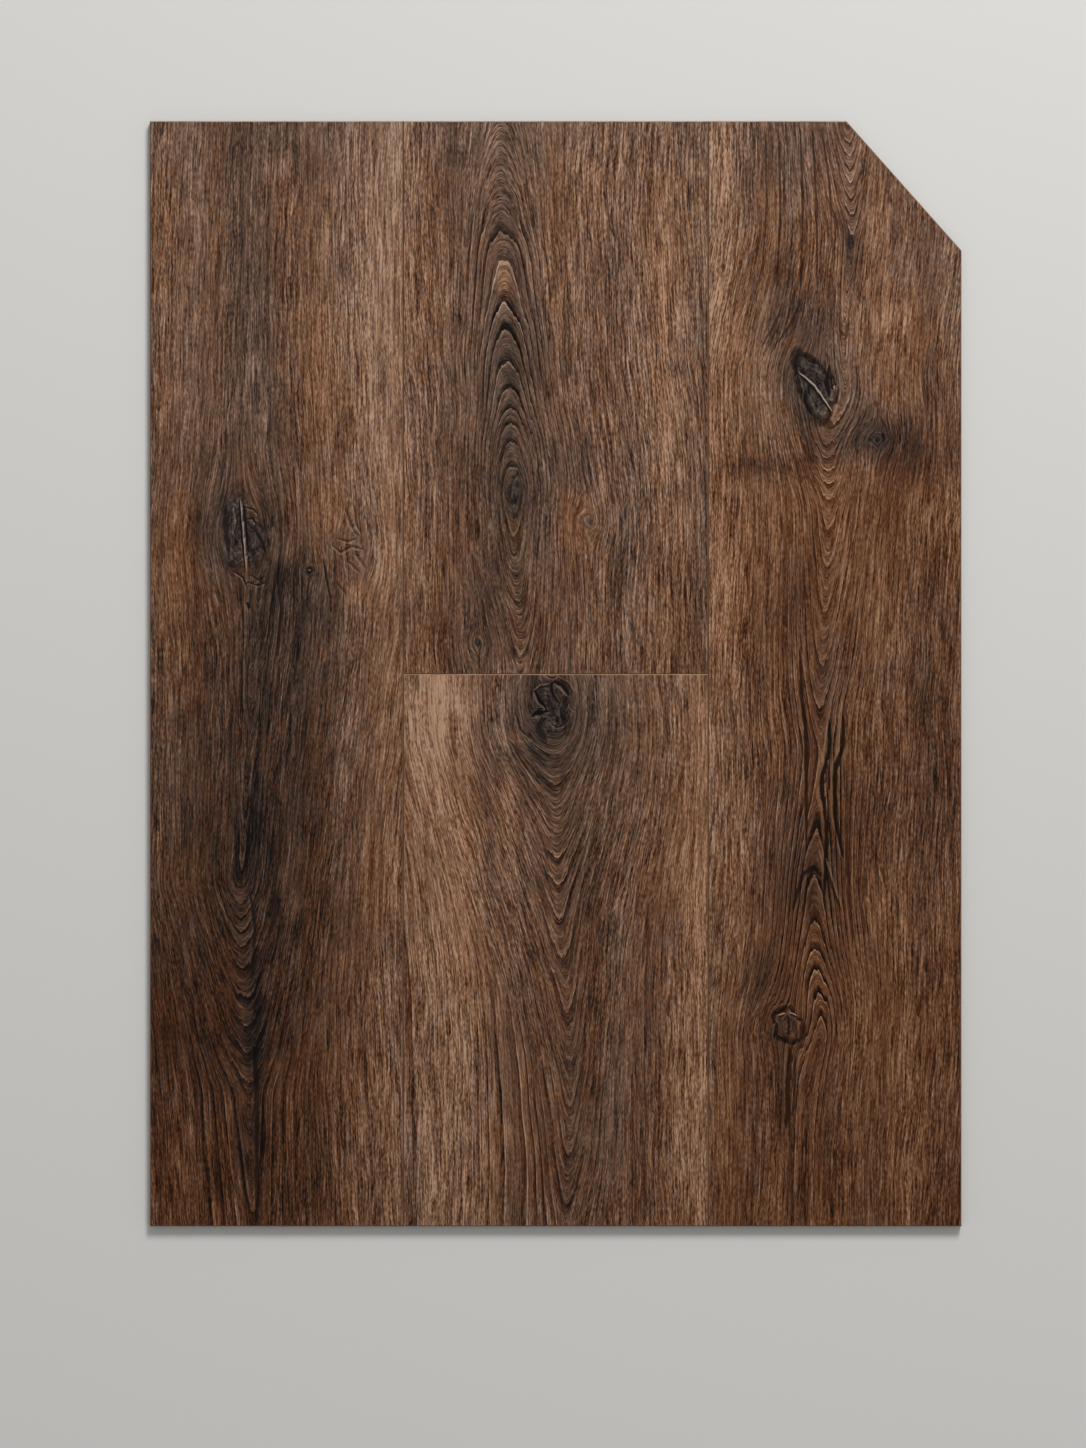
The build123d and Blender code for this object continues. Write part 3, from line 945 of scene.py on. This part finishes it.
growth, enter, leave = new_group(
    "Growth rings",
    [("Count", "NodeSocketFloat"), ("Ragged", "NodeSocketFloat"), ("Place", "NodeSocketVector")],
    ["Ring", "Tip"],
)
tree = growth
count, ragged, place = [enter.outputs[label] for label in ("Count", "Ragged", "Place")]
jag = calc(tree, "MULTIPLY", noise(tree, place, (1.3, 40.0), shift=9.0), 0.45)
jag = calc(tree, "MULTIPLY_ADD", noise(tree, place, (3.4, 40.0), shift=10.0), 0.55, jag)
count = calc(tree, "MULTIPLY_ADD", jag, ragged, count)
step = calc(tree, "FRACT", count)
ring = remap(tree, step, 0.0, 0.5, RING_DARK, RING_PALE)
year = tree.nodes.new("ShaderNodeTexWhiteNoise")
year.noise_dimensions = "1D"
feed(tree, year.inputs["W"], calc(tree, "FLOOR", count))
bold = calc(tree, "MULTIPLY_ADD", year.outputs["Value"], 0.8, 0.6)
feed(tree, leave.inputs["Ring"], calc(tree, "MULTIPLY", ring, bold))
feed(tree, leave.inputs["Tip"], calc(tree, "MULTIPLY", remap(tree, step, 0.84, 0.95), bold))
print("ring group:", len(tree.nodes), "nodes")

# %% [markdown]
# ## Knots and cracks
# The knot field grows from 0 in a knot's middle to 1 at its rim, so each mark lies between two values of it.
# Arcs of it are the knot's own rings. The crack field is a distance with a sign, so one side of a crack can
# be dark and the other carry a pale painted highlight.

# %% Knot group
KNOT_MARKS = ["Core", "Zone", "Flow", "Arcs", "Mottle", "Vein", "Rim", "Gap", "Edge"]
ARCS_EACH_MM = 2.6
CRACK_GAP = -0.8
PAINTED_HIGHLIGHT_PLACE = 0.6


def away_from(tree, value, centre):
    return calc(tree, "ABSOLUTE", calc(tree, "SUBTRACT", value, centre))


knots, enter, leave = new_group(
    "Knots and cracks",
    [
        ("Knot", "NodeSocketVector"),
        ("Size", "NodeSocketFloat"),
        ("Crack", "NodeSocketVector"),
        ("Place", "NodeSocketVector"),
    ],
    KNOT_MARKS,
)
tree = knots
place = enter.outputs["Place"]
radius, darkness, rim_share = split(tree, enter.outputs["Knot"])[:3]
crack, painted_highlight, dark = split(tree, enter.outputs["Crack"])[:3]
radius = calc(tree, "MULTIPLY_ADD", noise(tree, place, (3.0, 3.0), shift=70.0), 0.07, radius)
crack = calc(tree, "MULTIPLY_ADD", noise(tree, place, (2.6, 7.0), shift=73.0), 0.2, crack)
swirl = noise(tree, place, (5.0, 8.0), shift=71.0)
turns = calc(tree, "MULTIPLY", calc(tree, "MULTIPLY", radius, enter.outputs["Size"]), ARCS_EACH_MM)
turns = calc(tree, "MULTIPLY_ADD", swirl, 2.4, turns)
core = remap(tree, radius, 0.75, 1.08, 1.0, 0.0)
feed(tree, leave.inputs["Core"], calc(tree, "MULTIPLY", core, darkness))
feed(tree, leave.inputs["Zone"], remap(tree, radius, 0.85, 1.15, 1.0, 0.0))
feed(tree, leave.inputs["Flow"], remap(tree, radius, 1.0, 2.8, 1.0, 0.0))
feed(tree, leave.inputs["Arcs"], calc(tree, "COSINE", turns))
mottle = noise(tree, place, (3.6, 9.0), shift=72.0, detail=1.0)
feed(tree, leave.inputs["Mottle"], mottle)
vein = remap(tree, away_from(tree, swirl, 0.1), 0.04, 0.2, 1.0, 0.0)
feed(tree, leave.inputs["Vein"], calc(tree, "MULTIPLY", vein, remap(tree, mottle, -0.5, 0.5, -1.0, 1.0)))
rim_dark = remap(tree, away_from(tree, radius, 1.02), 0.05, 0.24, -1.0, 0.0)
rim_light = remap(tree, away_from(tree, radius, 0.76), 0.02, 0.14, 0.4, 0.0)
feed(tree, leave.inputs["Rim"], calc(tree, "MULTIPLY", calc(tree, "ADD", rim_dark, rim_light), rim_share))
gap = remap(tree, away_from(tree, crack, CRACK_GAP), 0.5, 1.1, 1.0, 0.0)
feed(tree, leave.inputs["Gap"], calc(tree, "MULTIPLY", gap, dark))
# the lit side of a crack gets a pale painted highlight
edge = remap(tree, away_from(tree, crack, PAINTED_HIGHLIGHT_PLACE), 0.35, 0.8, 1.0, 0.0)
feed(tree, leave.inputs["Edge"], calc(tree, "MULTIPLY", edge, painted_highlight))
print("knot group:", len(tree.nodes), "nodes")

# %% [markdown]
# ## Colours of the print
# Print has few inks, so each colour here is a ramp from dark to light: a grey brown, an orange brown, and the
# grey of the knots. Picking them as screen colours is easy, but a shader wants linear values, so `srgb` turns
# one into the other.

# %% Colours and material helpers
GREY_BROWN = [
    (0.0, (9, 6, 5)),
    (0.2, (42, 31, 25)),
    (0.4, (75, 57, 46)),
    (0.6, (108, 84, 70)),
    (0.8, (140, 113, 96)),
    (1.0, (171, 143, 122)),
]
ORANGE_BROWN = [
    (0.0, (13, 5, 1)),
    (0.2, (55, 26, 6)),
    (0.4, (86, 51, 29)),
    (0.6, (116, 79, 53)),
    (0.8, (145, 106, 79)),
    (1.0, (175, 136, 106)),
]
KNOT_GREY = [
    (0.0, (7, 6, 6)),
    (0.2, (37, 32, 30)),
    (0.4, (67, 59, 54)),
    (0.6, (99, 88, 80)),
    (1.0, (166, 150, 136)),
]


def srgb(red, green, blue):
    """A colour as picked on a screen, from 0 to 255, in the linear values that shaders use."""
    shares = [value / 255 for value in (red, green, blue)]
    return [share / 12.92 if share < 0.04 else ((share + 0.055) / 1.055) ** 2.4 for share in shares] + [1.0]


def tone_ramp(tree, tone, stops):
    node = tree.nodes.new("ShaderNodeValToRGB")
    while len(node.color_ramp.elements) < len(stops):
        node.color_ramp.elements.new(0.5)
    for element, (position, colour) in zip(node.color_ramp.elements, stops):
        element.position = position
        element.color = srgb(*colour)
    tree.links.new(tone, node.inputs[0])
    return node.outputs[0]


def attribute(tree, name):
    node = tree.nodes.new("ShaderNodeAttribute")
    node.attribute_name = name
    return node.outputs["Vector"]


def finish_material(name, roughness, specular):
    material = bpy.data.materials.new(name)
    material.use_nodes = True
    shader = material.node_tree.nodes["Principled BSDF"]
    shader.inputs["Roughness"].default_value = roughness
    shader.inputs["Specular IOR Level"].default_value = specular
    return material, material.node_tree, shader


def millimetre_place(tree):
    """The point's place in the panel, in millimetres."""
    place = tree.nodes.new("ShaderNodeVectorMath")
    place.operation = "SCALE"
    place.inputs["Scale"].default_value = MILLIMETRES
    coordinates = tree.nodes.new("ShaderNodeTexCoord")
    tree.links.new(coordinates.outputs["Object"], place.inputs[0])
    return place.outputs[0]


def mix_colours(tree, factor, first, second):
    node = tree.nodes.new("ShaderNodeMix")
    node.data_type = "RGBA"
    for socket, value in zip((node.inputs[0], node.inputs[6], node.inputs[7]), (factor, first, second)):
        tree.links.new(value, socket)
    return node.outputs[2]


def add_bump(tree, shader, height, strength, distance):
    bump = tree.nodes.new("ShaderNodeBump")
    bump.inputs["Strength"].default_value = strength
    bump.inputs["Distance"].default_value = distance
    tree.links.new(height, bump.inputs["Height"])
    tree.links.new(bump.outputs[0], shader.inputs["Normal"])


print("print colours:", len(GREY_BROWN), "+", len(ORANGE_BROWN), "browns and", len(KNOT_GREY), "greys")

# %% [markdown]
# ## The painted rim highlight
# Along the panel's far edge, left edge and clipped corner a thin pale line is painted on the arris as a
# highlight, where the rim catches the light. The distance to each edge is a dot product.

# %% Painted rim highlight
RIM_HIGHLIGHT_WIDTH = 0.8
RIM_HIGHLIGHT_STRENGTH = 0.6
EDGE_PLAY = 0.01


def rim_lines():
    """The panel's far, left and clipped edges, each as a normal pointing in and an offset, in millimetres."""
    low, high = [[value * MILLIMETRES for value in corner] for corner in cad_box]
    points = [vert.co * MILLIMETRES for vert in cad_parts["right_plank"].data.vertices]
    clip_x = max(point.x for point in points if point.y > high[1] - EDGE_PLAY)
    clip_y = max(point.y for point in points if point.x > high[0] - EDGE_PLAY)
    clip_in = Vector((-(high[1] - clip_y), -(high[0] - clip_x))).normalized()
    return [
        ((0.0, -1.0), high[1]),
        ((1.0, 0.0), -low[0]),
        (tuple(clip_in), -clip_in.dot(Vector((clip_x, high[1])))),
    ]


def painted_rim_highlight(tree, place):
    """A mask of the pale painted highlight along those edges."""
    x, y = split(tree, place)[:2]
    nearest = 1000.0
    for (normal_x, normal_y), offset in rim_lines():
        distance = calc(tree, "MULTIPLY_ADD", y, normal_y, calc(tree, "MULTIPLY_ADD", x, normal_x, offset))
        nearest = calc(tree, "MINIMUM", nearest, distance)
    return remap(tree, nearest, 0.3 * RIM_HIGHLIGHT_WIDTH, RIM_HIGHLIGHT_WIDTH, RIM_HIGHLIGHT_STRENGTH, 0.0)


for (normal_x, normal_y), offset in rim_lines():
    print("arris along", round(normal_x, 2), round(normal_y, 2), "at", round(offset, 1), "mm")

# %% [markdown]
# ## The tone of the printed face
# All the patterns add up to one tone, from dark to light. Fibres, lines, pores and rings lie on top of the
# plank's own shade. Inside a knot they calm down, and the knot's own lines take their place. A crack's gap
# darkens what is there. Painted highlights, on a crack's lit edge and along the panel's far, left and
# clipped edges, pull it towards a pale tone.

# %% Tone of the print
FIBRE_SHARE = 0.28
FIBRE_NEAR_KNOTS = 0.19
LINE_SHARE = 0.14
LINE_NEAR_KNOTS = 0.26
PORE_SHARE = -0.12
RING_SHARE = 0.24
TIP_SHARE = 0.14
KNOT_CALM = -0.9
MOTTLE_SHARE = 0.13
ARC_SHARE = 0.09
VEIN_SHARE = 0.19
CORE_SHARE = -0.26
RIM_SHARE = 0.26
PAINTED_HIGHLIGHT_TONE = 0.9
RIM_HIGHLIGHT_TONE = 0.95


def pull(tree, tone, target, mask):
    """Pulls the tone towards a target where the mask is strong."""
    return calc(tree, "MULTIPLY_ADD", calc(tree, "SUBTRACT", target, tone), mask, tone)


oak_print, tree, shader = finish_material("oak print", 0.45, 0.1)
place = millimetre_place(tree)
ring_count, ring_strength, squeeze = split(tree, attribute(tree, "figure"))[:3]
wood = use_group(tree, fibres, Grain=attribute(tree, "grain"), Squeeze=squeeze).outputs
ragged = split(tree, attribute(tree, "ragged"))[0]
ring = use_group(tree, growth, Count=ring_count, Ragged=ragged, Place=place).outputs
tone, warmth, knot_size = split(tree, attribute(tree, "shade"))[:3]
knot_field = attribute(tree, "knot")
knot = use_group(
    tree, knots, Knot=knot_field, Size=knot_size, Crack=attribute(tree, "crack"), Place=place
).outputs

fibre_share = remap(tree, knot["Flow"], 0.0, 1.0, FIBRE_SHARE, FIBRE_NEAR_KNOTS)
line_share = remap(tree, knot["Flow"], 0.0, 1.0, LINE_SHARE, LINE_NEAR_KNOTS)
fine = calc(tree, "MULTIPLY", wood["Fibre"], fibre_share)
fine = calc(tree, "MULTIPLY_ADD", wood["Line"], line_share, fine)
fine = calc(tree, "MULTIPLY_ADD", wood["Pore"], PORE_SHARE, fine)
fine = calc(tree, "MULTIPLY", fine, remap(tree, tone, 0.2, 0.8, 0.8, 1.2))
fine = calc(tree, "MULTIPLY", fine, remap(tree, ring_strength, 0.6, 1.6, 1.0, 0.75))
rings = calc(tree, "MULTIPLY_ADD", ring["Tip"], TIP_SHARE, calc(tree, "MULTIPLY", ring["Ring"], RING_SHARE))
rings = calc(tree, "MULTIPLY", rings, ring_strength)
fine = calc(tree, "ADD", rings, fine)
tone = calc(tree, "MULTIPLY_ADD", fine, calc(tree, "MULTIPLY_ADD", knot["Zone"], KNOT_CALM, 1.0), tone)
knot_lines = calc(tree, "MULTIPLY", knot["Arcs"], ARC_SHARE)
knot_lines = calc(tree, "MULTIPLY_ADD", knot["Mottle"], MOTTLE_SHARE, knot_lines)
knot_lines = calc(tree, "MULTIPLY_ADD", knot["Vein"], VEIN_SHARE, knot_lines)
tone = calc(tree, "MULTIPLY_ADD", knot_lines, knot["Zone"], tone)
tone = calc(tree, "MULTIPLY_ADD", knot["Core"], CORE_SHARE, tone)
tone = calc(tree, "MULTIPLY_ADD", knot["Rim"], RIM_SHARE, tone)
tone = calc(tree, "MULTIPLY", tone, calc(tree, "SUBTRACT", 1.0, knot["Gap"]))
# painted highlight on a crack's lit edge
tone = pull(tree, tone, PAINTED_HIGHLIGHT_TONE, knot["Edge"])
# painted highlight along the panel's far, left and clipped edges
tone = pull(tree, tone, RIM_HIGHLIGHT_TONE, painted_rim_highlight(tree, place))
print("tone of the print:", len(tree.nodes), "nodes")

# %% [markdown]
# ## The colour and the fine relief of the printed face
# The warmth field and a little noise mix the two browns, and the knots turn grey. The finest fibres and the
# edges of the rings are too small for the mesh, so they go through a Bump node as heights. The wear layer is
# satin, and a low specular level keeps the darks deep.

# %% Colour and fine relief of the print
HUE_SHARE = 0.95
WARMTH_SPAN = 1.2
KNOT_GREYING = 1.3
FIBRE_HEIGHT = 0.13
RING_HEIGHT = 0.5

warmth = calc(tree, "MULTIPLY_ADD", wood["Hue"], HUE_SHARE, warmth)
warm_share = remap(tree, warmth, -WARMTH_SPAN, WARMTH_SPAN)
browns = [tone_ramp(tree, tone, stops) for stops in (GREY_BROWN, ORANGE_BROWN)]
brown = mix_colours(tree, warm_share, *browns)
greyed = calc(tree, "MULTIPLY", knot["Core"], KNOT_GREYING)
colour = mix_colours(tree, greyed, brown, tone_ramp(tree, tone, KNOT_GREY))
tree.links.new(colour, shader.inputs["Base Color"])
tree.links.new(remap(tree, tone, 0.1, 0.8, 0.52, 0.42), shader.inputs["Roughness"])

height = calc(tree, "MULTIPLY", wood["Relief"], FIBRE_HEIGHT)
height = calc(tree, "MULTIPLY_ADD", rings, RING_HEIGHT, height)
height = calc(tree, "MULTIPLY", height, remap(tree, split(tree, knot_field)[0], 0.8, 1.15))
add_bump(tree, shader, height, strength=1.0, distance=0.001)
print("oak print:", len(tree.nodes), "nodes")

# %% [markdown]
# ## Edges, core and back
# The small bevels along the seams are painted brown, a little thicker here and there. The bevel at a plank's
# far end faces the light, so it is painted pale as a highlight. The saw shows the core, a taupe vinyl filled
# with chalk, so it has fine pale specks. The back is the same vinyl with a slightly uneven skin. All of these
# are one colour that wanders a little, so one function makes them.

# %% Edge, core and back materials
EDGE_BROWN = [(0.0, (86, 65, 50)), (1.0, (114, 87, 68))]
CORE_TAUPE = [(0.0, (92, 80, 70)), (0.6, (112, 99, 88)), (1.0, (150, 140, 130))]
BACK_GREY = [(0.0, (79, 73, 68)), (1.0, (93, 87, 80))]
BEVEL_HIGHLIGHT_STOPS = [(0.0, (132, 105, 83)), (1.0, (164, 134, 107))]


def mottled(tree, shader, stops, lengths):
    """Lets the colour wander between the stops, in patches of about these lengths, and says how far."""
    wander = remap(tree, noise(tree, millimetre_place(tree), lengths, detail=2.0), -1.0, 1.0)
    tree.links.new(tone_ramp(tree, wander, stops), shader.inputs["Base Color"])
    return wander


edge_paint, tree, shader = finish_material("edge paint", 0.5, 0.25)
mottled(tree, shader, EDGE_BROWN, (3.0, 25.0, 3.0))
core_vinyl, tree, shader = finish_material("core vinyl", 0.7, 0.2)
mottled(tree, shader, CORE_TAUPE, (0.5, 0.5, 0.5))
back_skin, tree, shader = finish_material("back skin", 0.6, 0.25)
uneven = mottled(tree, shader, BACK_GREY, (6.0, 18.0, 6.0))
add_bump(tree, shader, uneven, strength=0.3, distance=0.0005)
# a pale painted highlight on the bevels that face the lamp
painted_bevel_highlight, tree, shader = finish_material("painted bevel highlight", 0.5, 0.2)
mottled(tree, shader, BEVEL_HIGHLIGHT_STOPS, (9.0, 3.0, 3.0))
finishes = {PRINTED: oak_print, EDGE: edge_paint, CORE: core_vinyl, BACK: back_skin, PAINTED_HIGHLIGHT_BEVEL: painted_bevel_highlight}
print("materials:", ", ".join(finish.name for finish in finishes.values()))

# %% [markdown]
# ## Putting it together
# Each dressed plank stands in for its CAD plank and rides on the one body that the panel has.

# %% Assemble
for name, piece in planks.items():
    for number in sorted(finishes):
        piece.data.materials.append(finishes[number])
    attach(piece, "root")
    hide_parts(name)
print("dressed planks:", len(planks))
